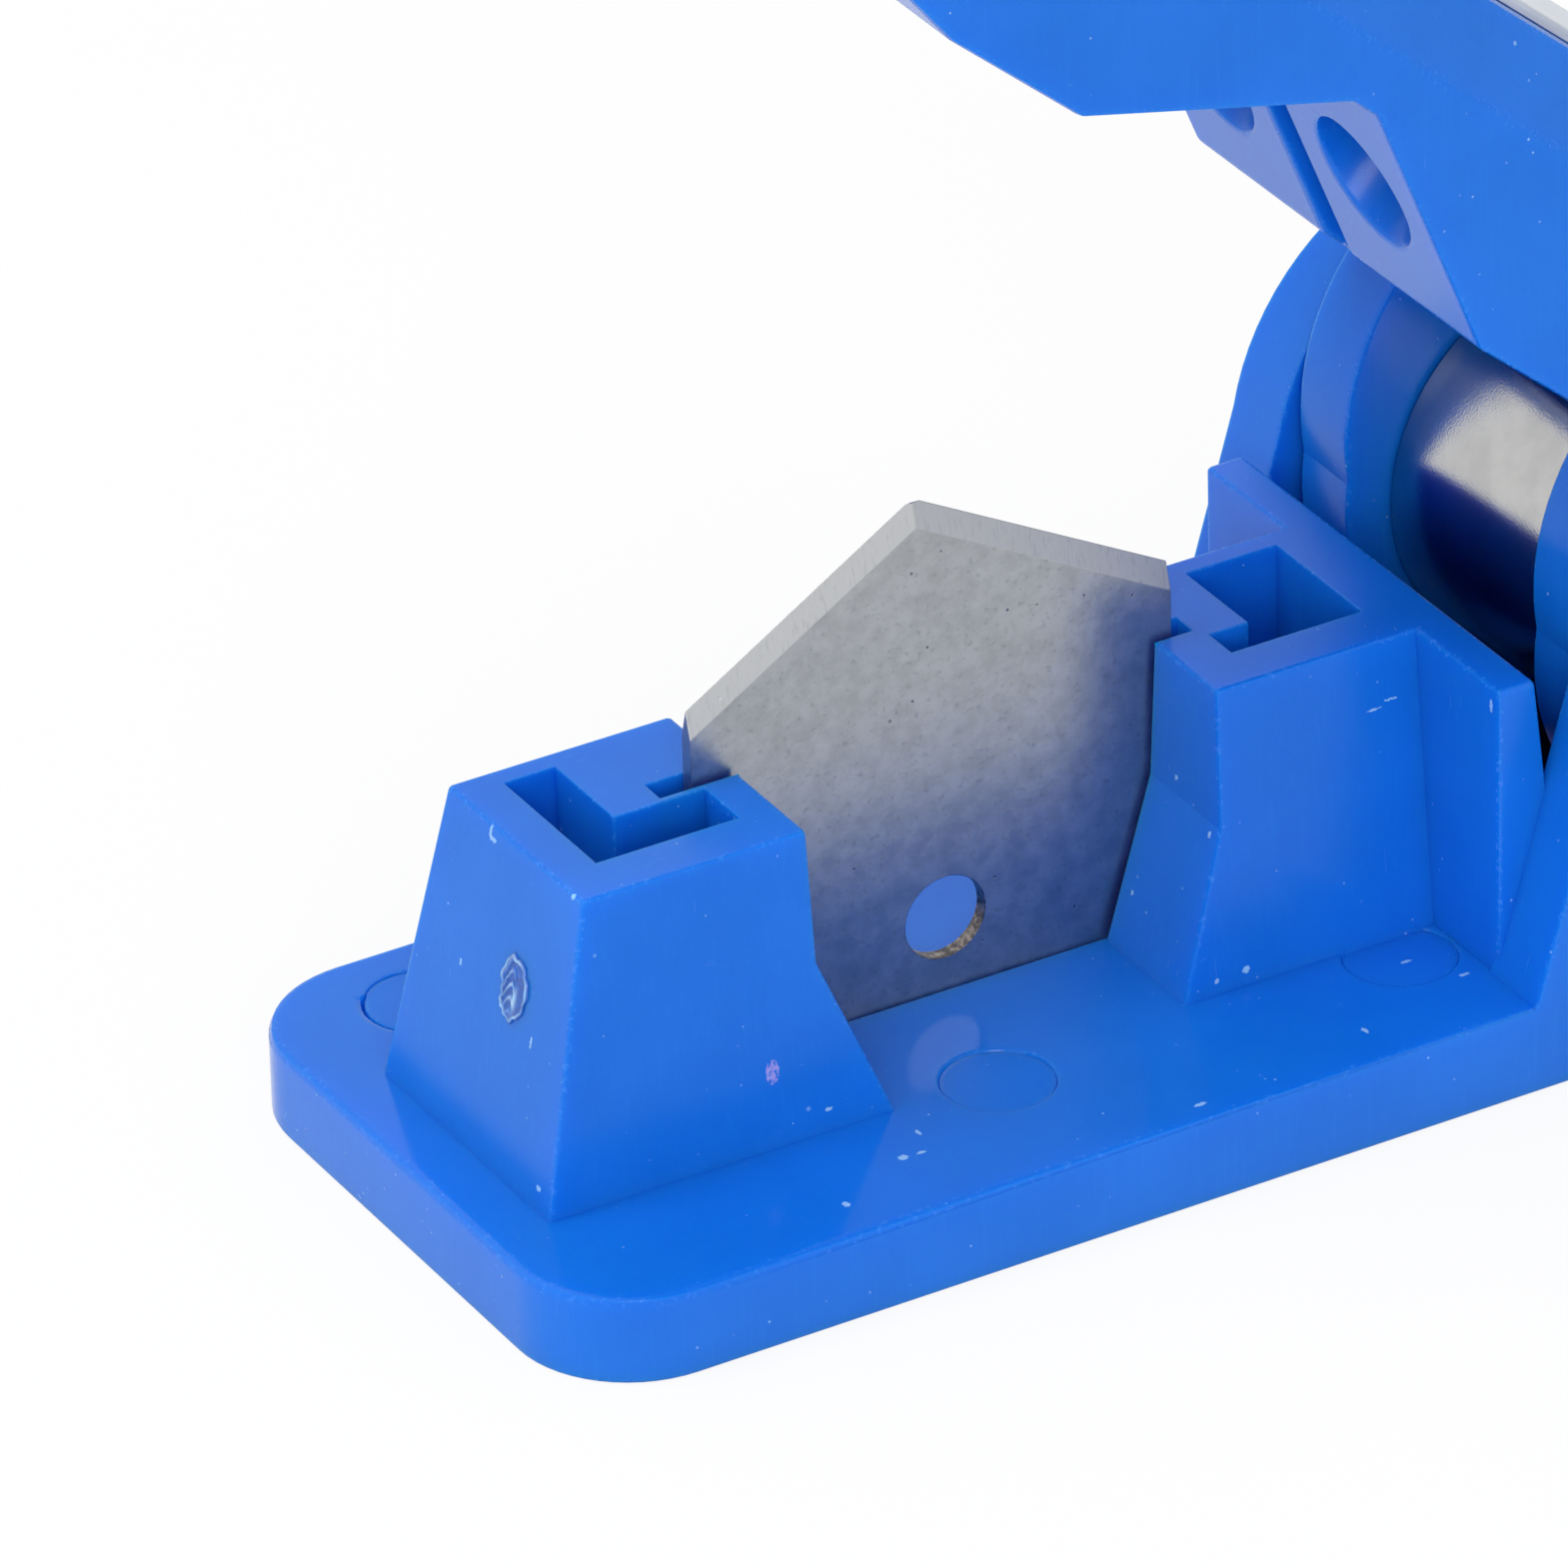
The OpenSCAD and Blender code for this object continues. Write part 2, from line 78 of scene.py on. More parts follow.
# Table: a plain white sheet under the cutter. The camera and polished metal see it as paper
# white, and it keeps the soft shadow under the base.
class Wire:
    """One output of a shader's node. Sums on it add Math nodes."""

    def __init__(self, tree, socket):
        self.tree = tree
        self.socket = socket

    def node(self, kind, settings=None, values=None, out=0):
        """Another node: its type, its settings, then the values or wires of its sockets."""
        made = self.tree.nodes.new("ShaderNode" + kind)
        for name, value in (settings or {}).items():
            setattr(made, name, value)
        for place, value in (values or {}).items():
            if isinstance(value, Wire):
                self.tree.links.new(value.socket, made.inputs[place])
            else:
                made.inputs[place].default_value = value
        return Wire(self.tree, made.outputs[out] if len(made.outputs) else None)

    def sum(self, operation, *terms):
        return self.node("Math", {"operation": operation}, dict(enumerate(terms)))

    def __add__(self, other):
        return self.sum("ADD", self, other)

    def __sub__(self, other):
        return self.sum("SUBTRACT", self, other)

    def __rsub__(self, other):
        return self.sum("SUBTRACT", other, self)

    def __mul__(self, other):
        return self.sum("MULTIPLY", self, other)

    __radd__ = __add__
    __rmul__ = __mul__

    def step(self, low, high):
        """Rises smoothly from 0 at low to 1 at high."""
        return self.node("MapRange", {"interpolation_type": "SMOOTHSTEP"}, {0: self, 1: low, 2: high})

    def tint(self, low, high):
        """The colour low where this is 0, and high where it is 1."""
        return self.node("Mix", {"data_type": "RGBA"}, {0: self, 6: low, 7: high}, 2)


def tree_start(tree, kind, out):
    """The first wire of a tree: one output of a new node."""
    return Wire(tree, tree.nodes.new("ShaderNode" + kind).outputs[out])


def seen_directly(tree):
    """1 for what the camera sees, straight or in gloss or glass, and 0 for soft light."""
    straight, glossy, through = (
        tree_start(tree, "LightPath", f"Is {kind} Ray") for kind in ("Camera", "Glossy", "Transmission")
    )
    return straight.sum("MAXIMUM", straight.sum("MAXIMUM", straight, glossy), through)


table_half = 3.0
table_corners = [(x * table_half, y * table_half, 0) for x, y in ((-1, -1), (1, -1), (1, 1), (-1, 1))]
table_mesh = bpy.data.meshes.new("table")
table_mesh.from_pydata(table_corners, [], [(0, 1, 2, 3)])
table = bpy.data.objects.new("table", table_mesh)
bpy.context.collection.objects.link(table)
paper = bpy.data.materials.new("white_paper")
paper.use_nodes = True
paper.node_tree.nodes.clear()
paper_ray = seen_directly(paper.node_tree)
paper_matt = paper_ray.node("BsdfDiffuse", {}, {"Color": (0.9, 0.9, 0.9, 1)})
paper_glow = paper_ray.node("Emission", {}, {"Color": (1, 1, 1, 1), "Strength": 1})
paper_white_share = 0.87
paper_skin = paper_ray.node(
    "MixShader", {}, {0: paper_ray * paper_white_share, 1: paper_matt, 2: paper_glow}
)
paper_ray.node("OutputMaterial", {}, {"Surface": paper_skin})
table_mesh.materials.append(paper)


# Light: a white tent all round and two wide softboxes, one in front on the left and one above.
# The gloss on the plastic is the tent, mirrored, and so is the pale hole of the blade on the plate.
world = bpy.data.worlds.new("white_tent")
bpy.context.scene.world = world
world.use_nodes = True
world.node_tree.nodes.clear()
tent_ray = seen_directly(world.node_tree)
tent_soft = tent_ray.node("Background", {}, {"Color": (1, 1, 1, 1), "Strength": 0.64})
tent_seen = tent_ray.node("Background", {}, {"Color": (1, 1, 1, 1), "Strength": 1})
tent_skin = tent_ray.node("MixShader", {}, {0: tent_ray, 1: tent_soft, 2: tent_seen})
tent_ray.node("OutputWorld", {}, {"Surface": tent_skin})
softbox_width, softbox_distance = 0.45, 0.8
for name, way, watts in (
    ("softbox_front", (-0.42, -0.80, 0.42), 2.5),
    ("softbox_above", (-0.42, 0.10, 0.90), 2.4),
):
    way = Vector(way).normalized()
    softbox = bpy.data.objects.new(name, bpy.data.lights.new(name, "AREA"))
    bpy.context.collection.objects.link(softbox)
    softbox.data.shape = "DISK"
    softbox.data.size = softbox_width
    softbox.data.energy = watts
    softbox.location = way * softbox_distance
    softbox.rotation_mode = "QUATERNION"
    softbox.rotation_quaternion = way.to_track_quat("Z", "Y")


# Base: plate, two slotted posts, cross wall, two ears and the rear stop, moulded in one shot of bright
# blue, half glossy plastic. Its edges are slightly rounded, and painted paler in places: partly wear,
# partly painted highlight.
MM = 0.001
weld_distance = 0.002
flat_angle = 0.3
rub_reach_angle = 50


def broken_edges(name, node, body, edge, special=(), least=12):
    """A copy of a node's mesh, riding on its body, with its outer edges over the least angle
    rounded to a width of edge. Special pairs a test with another width for some edges. Every
    flat face keeps its own shading, and the rounding turns from one face to the next."""
    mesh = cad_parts[node].data.copy()
    mesh.name = name
    mesh.materials.clear()
    made = bpy.data.objects.new(name, mesh)
    bpy.context.collection.objects.link(made)
    work = bmesh.new()
    work.from_mesh(mesh)
    bmesh.ops.remove_doubles(work, verts=work.verts, dist=weld_distance * MM)
    bmesh.ops.dissolve_limit(
        work, angle_limit=math.radians(flat_angle), verts=work.verts, edges=work.edges
    )
    # The faces of the rounding are marked here. The blue plastic paints them paler in dashes: partly
    # wear, partly painted highlight.
    rounded_edge = work.faces.layers.float.new("rounded_edge")
    bend = math.radians(least)
    for chosen, width in (*special, (None, edge)):
        rim = [
            e for e in work.edges
            if len(e.link_faces) == 2 and e.is_convex and e.calc_face_angle() > bend
            and not any(f[rounded_edge] for f in e.link_faces) and (chosen is None or chosen(e))
        ]
        if rim:
            cut = bmesh.ops.bevel(
                work, geom=rim, offset=width * MM, offset_type="OFFSET", segments=2,
                profile=0.5, affect="EDGES", clamp_overlap=False, loop_slide=False,
            )
            for f in cut["faces"]:
                f[rounded_edge] = 1
    work.normal_update()
    ways = []
    for f in work.faces:
        f.smooth = True
        for corner in f.loops:
            around = corner.vert.link_faces
            plain = [g for g in around if not g[rounded_edge]]
            lead = f
            if f[rounded_edge]:
                lead = min(plain, key=lambda g: g.normal.angle(f.normal, 4), default=None)
                if lead is None or lead.normal.angle(f.normal, 4) > math.radians(rub_reach_angle):
                    plain = [g for g in around if g[rounded_edge]]
                    lead = f
            near = [g.normal for g in plain if g.normal.angle(lead.normal, 4) < bend or g is lead]
            way = sum(near, Vector())
            ways.append(way.normalized() if way.length > 0.01 else f.normal.copy())
    work.to_mesh(mesh)
    work.free()
    mesh.normals_split_custom_set(ways)
    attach(made, body)
    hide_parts(node)
    return made


def new_finish(name):
    """A material, its shader, and the place on the piece in millimetres."""
    finish = bpy.data.materials.new(name)
    finish.use_nodes = True
    tree = finish.node_tree
    here = tree_start(tree, "TexCoord", "Object")
    place = here.node("VectorMath", {"operation": "SCALE"}, {0: here, "Scale": 1000})
    return finish, tree.nodes["Principled BSDF"], place


def mesh_value(tree, name):
    """A value that the mesh itself carries from face to face, or from point to point."""
    value = tree_start(tree, "Attribute", "Fac")
    value.socket.node.attribute_name = name
    return value


def dress(finish, shader, colour, gloss, skin=None):
    """Gives a finish its colour, roughness and, from skin, its relief in millimetres."""
    links = finish.node_tree.links
    links.new(colour.socket, shader.inputs["Base Color"])
    links.new(gloss.socket, shader.inputs["Roughness"])
    if skin is not None:
        relief = skin.node("Bump", {}, {"Strength": 1, "Distance": MM, "Height": skin})
        links.new(relief.socket, shader.inputs["Normal"])


def noise(place, scale, detail=2, roughness=0.5, stretch=None):
    """Cloudy noise: scale is in clouds per millimetre, stretch in clouds along x, y and z."""
    if stretch:
        place = place.node("VectorMath", {"operation": "MULTIPLY"}, {0: place, 1: stretch})
    return place.node(
        "TexNoise", {}, {"Vector": place, "Scale": scale, "Detail": detail, "Roughness": roughness}
    )


def specks(place, scale, share, size):
    """Small round dots: one possible dot in each cell, and only a share of the cells has one."""
    cell = {"Vector": place, "Scale": scale}
    distance = place.node("TexVoronoi", {}, cell)
    lot = place.node("SeparateColor", {}, {0: place.node("TexVoronoi", {}, cell, "Color")})
    return (1 - distance.step(size * 0.5, size)) * lot.step(1 - share, 1.01 - share)


def wear_marks(place, across, along, share):
    """Fine scratches that run along one direction: long thin clouds, and only the crests."""
    lines = noise(place, 1, 2, 0.6, across)
    patches = noise(place, 0.35, 2, 0.5, along)
    return lines.step(0.66, 0.74) * patches.step(1 - share, 1.15 - share)


def reach_from(place, middle, half):
    """How far a place is from a middle, where 1 is on an ellipsoid with these half sizes."""
    off = place.node("VectorMath", {"operation": "MULTIPLY_ADD"}, {
        0: place, 1: [1 / h for h in half], 2: [-m / h for m, h in zip(middle, half)],
    })
    return off.node("VectorMath", {"operation": "LENGTH"}, {0: off}, "Value")


def blue_plastic(name, edge_pale_strength, crumbs=(), fluff=None, polished_to=None, dull_discs=()):
    """The blue moulded plastic, with dust on it. Crumbs are bits of lint that cling to one place,
    each a middle and half sizes in millimetres. Up to polished_to its mould was polished, except
    on the dull discs."""
    finish, shader, place = new_finish(name)
    cloud = noise(place, 0.12, 3, 0.55)
    colour = cloud.step(0.35, 0.65).tint((0.004, 0.150, 0.645, 1), (0.006, 0.166, 0.69, 1))
    # Rounded edges painted paler in broken dashes: partly wear, partly painted highlight along the
    # edges.
    edge_wear_and_highlight = mesh_value(finish.node_tree, "rounded_edge") * noise(place, 5.0, 3, 0.65).step(0.55, 0.68)
    colour = (edge_wear_and_highlight * edge_pale_strength).tint(colour, (0.12, 0.36, 0.86, 1))
    scratch = wear_marks(place, (0.5, 9.0, 0.6), (1, 1, 1), 0.45)
    scratch = scratch.sum("MAXIMUM", scratch, wear_marks(place, (8.0, 0.7, 0.5), (1.3, 1, 1), 0.4))
    colour = (scratch * 0.10).tint(colour, (0.16, 0.40, 0.86, 1))
    drawn = noise(place, 1, 2, 0.6, (6.5, 6.5, 0.3))
    colour = (drawn.step(0.5, 0.75) * 0.10).tint(colour, (0.02, 0.24, 0.80, 1))
    dust = specks(place, 0.7, 0.08, 0.08) + specks(place, 1.9, 0.05, 0.12)
    dust = dust + specks(place, 4.0, 0.03, 0.2)
    dust = dust * noise(place, 0.8, 1, 0.5).step(0.3, 0.7)
    ragged = place.node("TexNoise", {}, {"Vector": place, "Scale": 9, "Detail": 1}, "Color")
    fray = 0.07
    ragged = ragged.node("VectorMath", {"operation": "MULTIPLY_ADD"}, {
        0: ragged, 1: [2 * fray] * 3, 2: [-fray] * 3,
    })
    ragged = place.node("VectorMath", {"operation": "ADD"}, {0: place, 1: ragged})
    if crumbs:
        near = reach_from(ragged, *crumbs[0])
        for middle, half in crumbs[1:]:
            near = near.sum("MINIMUM", near, reach_from(ragged, middle, half))
        dust = dust.sum("MAXIMUM", dust, 1 - near.step(0.75, 1.0))
    colour = (dust * 0.65).tint(colour, (0.42, 0.70, 0.90, 1))
    if fluff:
        lint = 1 - reach_from(ragged, *fluff).step(0.8, 1.0)
        lint = lint * noise(place, 7, 2, 0.6).step(0.38, 0.56)
        colour = (lint * 0.8).tint(colour, (0.42, 0.36, 0.74, 1))
    gloss = 0.18 + 0.04 * drawn + 0.08 * cloud + 0.16 * scratch + 0.14 * edge_wear_and_highlight + 0.3 * dust
    if polished_to:
        height = place.node("SeparateXYZ", {}, {0: place}, 2)
        gloss = gloss - 0.11 * (1 - height.step(polished_to, polished_to + 0.3))
    for middle, half in dull_discs:
        gloss = gloss + 0.26 * (1 - reach_from(place, middle, half).step(0.93, 0.98))
    skin = 0.0024 * noise(place, 2.4, 2, 0.5) + 0.04 * noise(place, 0.09, 1, 0.4)
    skin = skin - 0.004 * scratch + 0.012 * dust
    dress(finish, shader, colour, gloss, skin)
    shader.inputs["Specular IOR Level"].default_value = 0.25
    shader.inputs["Subsurface Weight"].default_value = 0.6
    shader.inputs["Subsurface Radius"].default_value = (0.1, 0.5, 1.0)
    shader.inputs["Subsurface Scale"].default_value = 2.2 * MM
    return finish


plate_top = 3.15
base_low, base_high = (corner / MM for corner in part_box("base_body"))


def plate_rim(e):
    """True for an edge round the top of the base plate."""
    near, corner_free, corner_hinge = 0.02, 4.3, 2.7
    ends = [v.co / MM for v in e.verts]
    level_edge = all(abs(p.z - plate_top) < near for p in ends)
    at_side = all(
        p.x < base_low.x + corner_free or p.x > base_high.x - corner_hinge
        or abs(abs(p.y) - base_high.y) < near for p in ends
    )
    return level_edge and at_side


def thin_wall(e):
    """True for an edge of the pockets and slots in the tops of the posts."""
    pocket_floor, pocket_side, slot_side = 5, 3.75, 0.5
    free_post, hinge_post = (5.9, 11.5), (29, 36.5)
    ends = [(v.co / MM, v.co.x / MM - base_low.x) for v in e.verts]
    return all(
        p.z > pocket_floor and abs(p.y) < pocket_side and free_post[0] < along < hinge_post[1]
        and (abs(p.y) < slot_side or along < free_post[1] or along > hinge_post[0])
        for p, along in ends
    )


base = broken_edges(
    "moulded_base", "base_body", "base", 0.16, ((plate_rim, 0.34), (thin_wall, 0.07))
)
base_crumbs = (
    ((-26.15, 0.98, 13.50), (0.30, 0.09, 0.24)), ((-26.20, 0.78, 13.30), (0.30, 0.24, 0.09)),
    ((-26.07, -4.23, 13.66), (0.14, 0.10, 0.17)), ((-27.25, -3.19, 8.14), (0.20, 0.07, 0.24)),
    ((-27.13, 1.52, 8.71), (0.20, 0.08, 0.13)), ((-28.12, -4.98, 3.92), (0.16, 0.16, 0.10)),
    ((-17.93, -5.82, 3.93), (0.16, 0.20, 0.08)), ((-2.61, -4.29, 8.50), (0.20, 0.09, 0.12)),
    ((-1.90, -5.35, 3.71), (0.16, 0.20, 0.15)), ((-3.01, -5.36, 3.62), (0.09, 0.20, 0.10)),
    ((-2.47, -2.05, 9.49), (0.16, 0.10, 0.10)), ((-3.68, -1.21, 5.08), (0.16, 0.08, 0.10)),
    ((-19.75, -9.99, 3.15), (0.14, 0.18, 0.20)), ((-16.77, -8.53, 3.15), (0.22, 0.16, 0.20)),
    ((-16.13, -8.58, 3.15), (0.20, 0.08, 0.20)), ((-15.59, -7.48, 3.15), (0.08, 0.20, 0.20)),
    ((4.40, -8.64, 3.15), (0.20, 0.10, 0.20)), ((-0.19, -9.87, 3.15), (0.10, 0.24, 0.20)),
    ((-7.09, -10.88, 3.15), (0.26, 0.09, 0.20)), ((3.33, -6.80, 3.06), (0.22, 0.09, 0.20)),
    ((3.56, -4.54, 11.38), (0.32, 0.20, 0.04)), ((4.20, -4.53, 11.57), (0.30, 0.20, 0.04)),
    ((5.30, -8.83, 13.06), (0.08, 0.09, 0.26)),
)
pink_fluff = ((-19.84, -5.62, 5.84), (0.26, 0.24, 0.48))
mould_polish_height = 3.3
disc_level, disc_radius, disc_fade = 3.1, 1.89, 0.3
disc_half = (disc_radius, disc_radius, disc_fade)
disc_middles = ((-25.01, 8.31), (-11.77, -6.09), (3.29, -6.49))
ejector_discs = [((x, y, disc_level), disc_half) for x, y in disc_middles]
base.data.materials.append(blue_plastic(
    "blue_plastic_base", 0.2, base_crumbs, pink_fluff, mould_polish_height, ejector_discs
))


# Gate scar: where the moulding was broken off its runner, an oval of torn plastic on the end of the
# free post. It has a raised lip, small ridges on one side and one smooth, shiny facet. Its colour is a
# darker blue than the plastic round it, and the lip, the ridge crests and the facet are painted pale:
# painted highlights.
scar_middle = Vector((-26.99, -1.80, 9.33))
scar_out = Vector((-0.979, 0, 0.204)).normalized()
scar_side = Vector((0, -1, 0))
scar_up = scar_out.cross(scar_side).normalized()
scar_half_width, scar_half_height = 0.80, 1.16
scar_rings, scar_spokes = 30, 72
scar_tuck = 0.04
work = bmesh.new()
pale = work.verts.layers.float.new("pale")
rings = []
for i in range(1, scar_rings + 1):
    reach = i / scar_rings
    ring = []
    for j in range(scar_spokes):
        a = math.tau * j / scar_spokes
        across, up = reach * math.cos(a), reach * math.sin(a)
        edge = 1 + 0.05 * math.sin(3 * a + 1) + 0.04 * math.sin(7 * a) + 0.025 * math.sin(13 * a + 2)
        ridge = math.sin(16 * (up + 0.75 * abs(across + 0.05) + 0.1 * math.sin(5 * across)))
        side = 1 / (1 + math.exp(9 * (across - 0.12)))
        facet = math.exp(-((across - 0.18) / 0.16) ** 2 - ((up + 0.32) / 0.30) ** 2)
        lip = math.exp(-((reach - 0.91) / 0.045) ** 2) * (0.7 + 0.3 * math.sin(5 * a + 0.6))
        crest = ridge * side * (1 - 0.6 * reach)
        height = 0.06 + 0.05 * crest + 0.08 * lip + facet * (0.05 + 0.3 * (across - 0.18))
        if i == scar_rings:
            height = -scar_tuck
        point = scar_middle + scar_side * (across * edge * scar_half_width)
        point = point + scar_up * (up * edge * scar_half_height) + scar_out * height
        ring.append(work.verts.new(point * MM))
        # Painted highlight: how pale the lip, the ridge crests and the facet are painted.
        ring[-1][pale] = min(1, 0.8 * lip + 1.0 * facet + 0.9 * max(0, crest) ** 2)
    rings.append(ring)
scar_dip, scar_root = 0.03, 0.06
middle = work.verts.new((scar_middle + scar_out * scar_dip) * MM)
floor = work.verts.new((scar_middle - scar_out * scar_root) * MM)
for j in range(scar_spokes):
    k = (j + 1) % scar_spokes
    work.faces.new((middle, rings[0][j], rings[0][k]))
    work.faces.new((floor, rings[-1][k], rings[-1][j]))
    for inner, outer in zip(rings, rings[1:]):
        work.faces.new((inner[j], outer[j], outer[k], inner[k]))
bmesh.ops.recalc_face_normals(work, faces=work.faces)
for f in work.faces:
    f.smooth = True
scar_mesh = bpy.data.meshes.new("gate_scar")
work.to_mesh(scar_mesh)
work.free()
gate_scar = bpy.data.objects.new("gate_scar", scar_mesh)
bpy.context.collection.objects.link(gate_scar)
scar_finish, shader, place = new_finish("torn_plastic")
torn = noise(place, 6, 3, 0.6)
# Painted highlight on the lip, the ridge crests and the facet, from the mesh's pale value, over a
# darker blue than the plastic round it.
scar_highlight_paint = mesh_value(scar_finish.node_tree, "pale")
colour = torn.step(0.35, 0.7).tint((0.002, 0.065, 0.36, 1), (0.004, 0.11, 0.52, 1))
colour = scar_highlight_paint.tint(colour, (0.42, 0.68, 0.94, 1))
dress(scar_finish, shader, colour, 0.12 + 0.2 * torn)
shader.inputs["Subsurface Weight"].default_value = 0.3
shader.inputs["Subsurface Radius"].default_value = (0.1, 0.5, 1.0)
shader.inputs["Subsurface Scale"].default_value = 0.6 * MM
scar_mesh.materials.append(scar_finish)
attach(gate_scar, "base")


# Blade: a flat five-sided strip of hardened steel with a round hole near its foot, its two top
# edges ground to a point. The faces are a mottled grey, and the ground bevels are brighter.
blade = broken_edges("steel_blade", "blade", "base", 0.035, least=10)
blade_finish, shader, place = new_finish("blade_steel")
facing = tree_start(blade_finish.node_tree, "TexCoord", "Normal")
ground = facing.node("SeparateXYZ", {}, {0: facing}, "Z").step(0.1, 0.2)
mottle = noise(place, 1.3, 5, 0.7)
fine = noise(place, 4.5, 3, 0.6)
grind = noise(place, 1, 2, 0.7, (9.0, 1.0, 1.4))
colour = mottle.step(0.3, 0.7).tint((0.36, 0.375, 0.38, 1), (0.45, 0.465, 0.47, 1))
colour = (fine.step(0.56, 0.72) * 0.5).tint(colour, (0.24, 0.26, 0.28, 1))
stroke = wear_marks(place, (1.2, 9.0, 9.0), (1, 1, 1), 0.4)
slant = place.node("VectorRotate", {"rotation_type": "Y_AXIS"}, {"Vector": place, "Angle": 0.7})
stroke = stroke.sum("MAXIMUM", stroke, wear_marks(slant, (0.8, 11.0, 11.0), (1, 1, 1), 0.5))
colour = (stroke * 0.35).tint(colour, (0.62, 0.64, 0.66, 1))
pits = specks(place, 0.6, 0.35, 0.07) + specks(place, 1.7, 0.16, 0.11)
pits = pits.sum("MINIMUM", pits, 1)
colour = (pits * 0.8).tint(colour, (0.09, 0.09, 0.11, 1))
colour = ground.tint(colour, (0.48, 0.49, 0.50, 1))
colour = (ground * grind.step(0.55, 0.65) * 0.6).tint(colour, (0.40, 0.41, 0.43, 1))
low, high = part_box("blade")
hole_shift, hole_height, hole_radius = 0.288, 2.66, 1.5
hole_middle = ((low.x + high.x) / 2 / MM + hole_shift, 0, plate_top + hole_height)
hole_half = (hole_radius, math.inf, hole_radius)
bore = 1 - reach_from(place, hole_middle, hole_half).step(1.005, 1.03)
bronze = fine.step(0.4, 0.65).tint((0.08, 0.075, 0.08, 1), (0.32, 0.28, 0.26, 1))
colour = bore.tint(colour, bronze)
gloss = 0.24 + 0.12 * mottle + 0.08 * fine + 0.08 * ground + 0.15 * stroke
skin = 0.004 * mottle + 0.0035 * fine + 0.004 * ground * grind - 0.006 * pits - 0.002 * stroke
dress(blade_finish, shader, colour, gloss, skin)
shader.inputs["Metallic"].default_value = 1
blade.data.materials.append(blade_finish)


# Hinge pin: a solid drawn steel pin, pressed into both ears, with small chamfers at its ends.
pin_finish, shader, place = new_finish("pin_steel")
drawn = noise(place, 1, 2, 0.6, (6.0, 0.4, 6.0))
colour = drawn.step(0.3, 0.7).tint((0.50, 0.50, 0.51, 1), (0.62, 0.62, 0.63, 1))
dress(pin_finish, shader, colour, 0.22 + 0.14 * drawn)
shader.inputs["Metallic"].default_value = 1
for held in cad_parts["hinge_pin"].material_slots:
    held.material = pin_finish


# Spring: one flat strip of polished spring steel. Its foot lies on the plate behind the wall,
# one bend leads up, and it is rolled inwards round the hinge in turns a millimetre apart.
strip_half = 0.25
strip_width = 11.0
outer_radius = 7.1
turn_rise = 1.0
turn_end = 589.5
pin_radius = 2.0
inner_gap = 0.3
seat_gap = 0.01
axis_x, axis_z = 17.5, 12.0
# The foot starts a gap behind the cross wall, whose place follows from the ears' radius.
ear_radius, wall_reach_share = 9.35, 1.305
wall_thickness, wall_foot_share = 1.4, 1.85
wall_gap = 0.6
foot_steps, bend_steps, turn_steps = 12, 24, 240
strip_outer = outer_radius - strip_half
foot_level = -(axis_z - plate_top - strip_half - seat_gap)
foot_tip = -ear_radius * wall_reach_share + wall_thickness * wall_foot_share + wall_gap
bend_start = strip_outer + foot_level
route = [(foot_tip + (bend_start - foot_tip) * i / foot_steps, foot_level) for i in range(foot_steps)]
for i in range(bend_steps):
    a = math.radians(90 * i / bend_steps - 90)
    route.append((bend_start - foot_level * math.cos(a), -foot_level * math.sin(a)))
for i in range(turn_steps + 1):
    a = math.radians(turn_end * i / turn_steps)
    r = strip_outer - turn_rise * turn_end * i / turn_steps / 360
    route.append((r * math.cos(a), r * math.sin(a)))
barrel = strip_outer - turn_rise * turn_end / 360 - strip_half - inner_gap
tab = (barrel + pin_radius) / 2
route.append((tab * math.cos(math.radians(turn_end)), tab * math.sin(math.radians(turn_end))))
half_width = strip_width / 2
soft = 0.09
cut = soft * 0.3
inside = [half_width - soft - (strip_width - 2 * soft) * i / 14 for i in range(15)]
half_profile = [(y, strip_half) for y in inside]
half_profile += [(-half_width + cut, strip_half - cut), (-half_width, strip_half - soft)]
half_profile += [(-half_width, -strip_half + soft), (-half_width + cut, -strip_half + cut)]
profile = half_profile + [(-y, -rise) for y, rise in half_profile]
saddle = 0.36
points = []
for i, (x, z) in enumerate(route):
    before, after = route[max(i - 1, 0)], route[min(i + 1, len(route) - 1)]
    way = Vector((after[0] - before[0], after[1] - before[1])).normalized()
    curl = saddle * min(max((i - foot_steps) / bend_steps, 0), 1)
    for y, rise in profile:
        lift = rise - curl * (y / half_width) ** 2
        points.append(((axis_x + x - way.y * lift) * MM, y * MM, (axis_z + z + way.x * lift) * MM))
count = len(profile)
faces = [
    (i * count + j, i * count + (j + 1) % count, (i + 1) * count + (j + 1) % count, (i + 1) * count + j)
    for i in range(len(route) - 1) for j in range(count)
]
faces.append(tuple(range(count - 1, -1, -1)))
faces.append(tuple(range((len(route) - 1) * count, len(route) * count)))
sharp_angle = 50
spring_mesh = bpy.data.meshes.new("rolled_spring")
spring_mesh.from_pydata(points, [], faces)
work = bmesh.new()
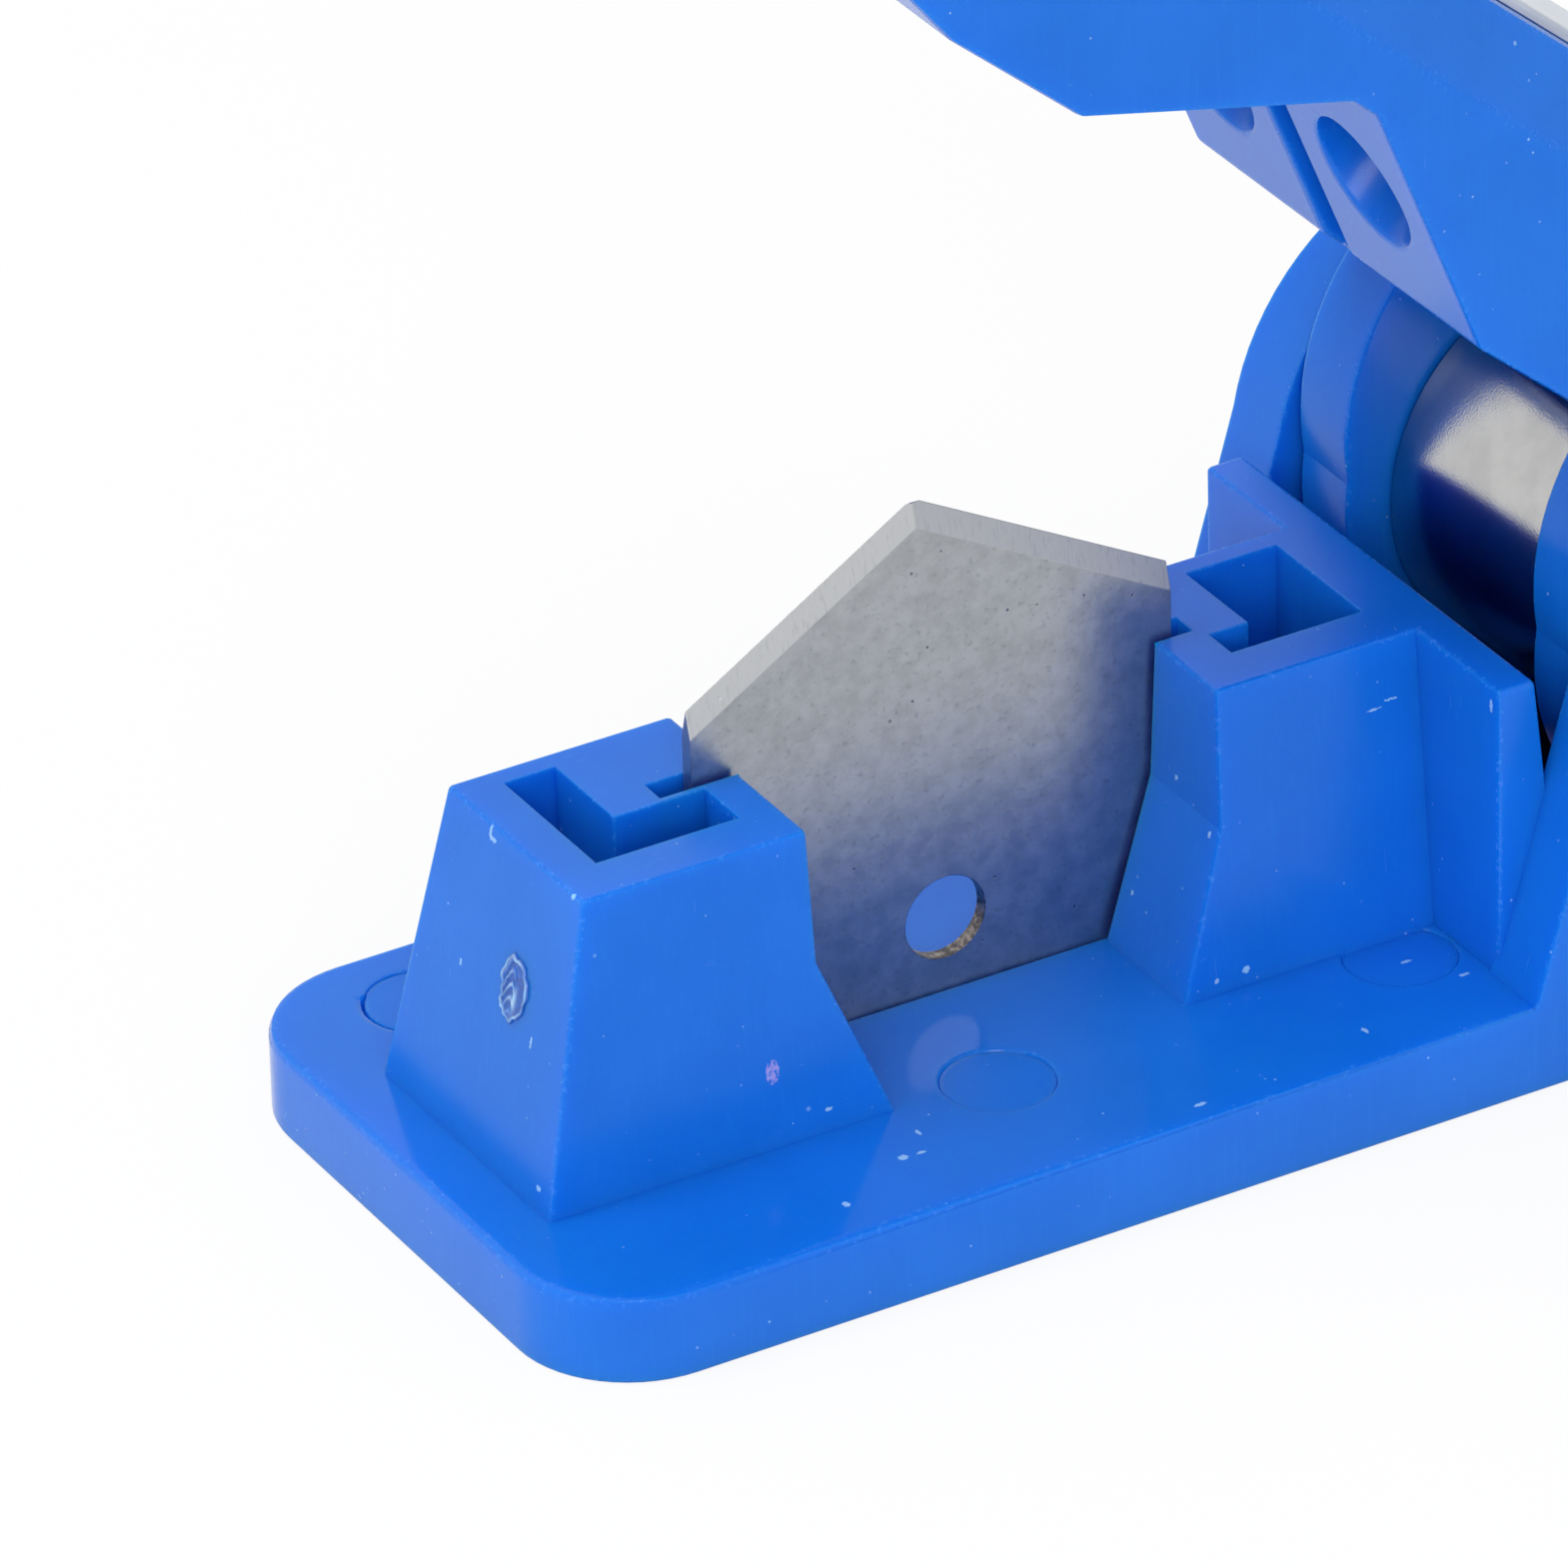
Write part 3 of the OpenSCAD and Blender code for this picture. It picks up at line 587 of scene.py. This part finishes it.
work.from_mesh(spring_mesh)
bmesh.ops.recalc_face_normals(work, faces=work.faces)
for f in work.faces:
    f.smooth = True
for e in work.edges:
    if len(e.link_faces) == 2 and e.calc_face_angle() > math.radians(sharp_angle):
        e.smooth = False
work.to_mesh(spring_mesh)
work.free()
spring = bpy.data.objects.new("rolled_spring", spring_mesh)
bpy.context.collection.objects.link(spring)
spring_finish, shader, place = new_finish("spring_steel")
stain = noise(place, 0.5, 3, 0.6)
grain = noise(place, 12, 2, 0.6)
colour = stain.step(0.35, 0.7).tint((0.53, 0.53, 0.525, 1), (0.47, 0.47, 0.47, 1))
gloss = 0.11 + 0.03 * stain + 0.07 * grain
dress(spring_finish, shader, colour, gloss, 0.0045 * grain)
shader.inputs["Metallic"].default_value = 1
spring_mesh.materials.append(spring_finish)
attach(spring, "base")
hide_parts("opening_spring")
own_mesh(spring)


# Lever: moulded in the same blue plastic, with a V notch that presses the tube down, round
# hollows in the notch's flanks, a slot for the blade and bevels along both top edges.
lever = broken_edges("moulded_lever", "lever", "lever_body", 0.2)
lever.data.materials.append(blue_plastic("blue_plastic_lever", 0.06))


# Nameplate: a blank strip of brushed aluminium, glued along the top of the lever.
nameplate = broken_edges("blank_nameplate", "nameplate", "lever_body", 0.06)
plate_finish, shader, place = new_finish("plate_metal")
lever_lean = math.radians(40.5)
along_lever = place.node(
    "VectorRotate", {"rotation_type": "Y_AXIS"}, {"Vector": place, "Angle": -lever_lean}
)
brushed = noise(along_lever, 1, 3, 0.65, (0.25, 14.0, 14.0))
handled = noise(along_lever, 0.25, 3, 0.6)
colour = brushed.step(0.3, 0.7).tint((0.52, 0.56, 0.62, 1), (0.62, 0.66, 0.72, 1))
colour = (handled.step(0.5, 0.8) * 0.3).tint(colour, (0.46, 0.49, 0.54, 1))
gloss = 0.26 + 0.16 * brushed + 0.08 * handled
dress(plate_finish, shader, colour, gloss, 0.004 * brushed)
shader.inputs["Metallic"].default_value = 1
nameplate.data.materials.append(plate_finish)
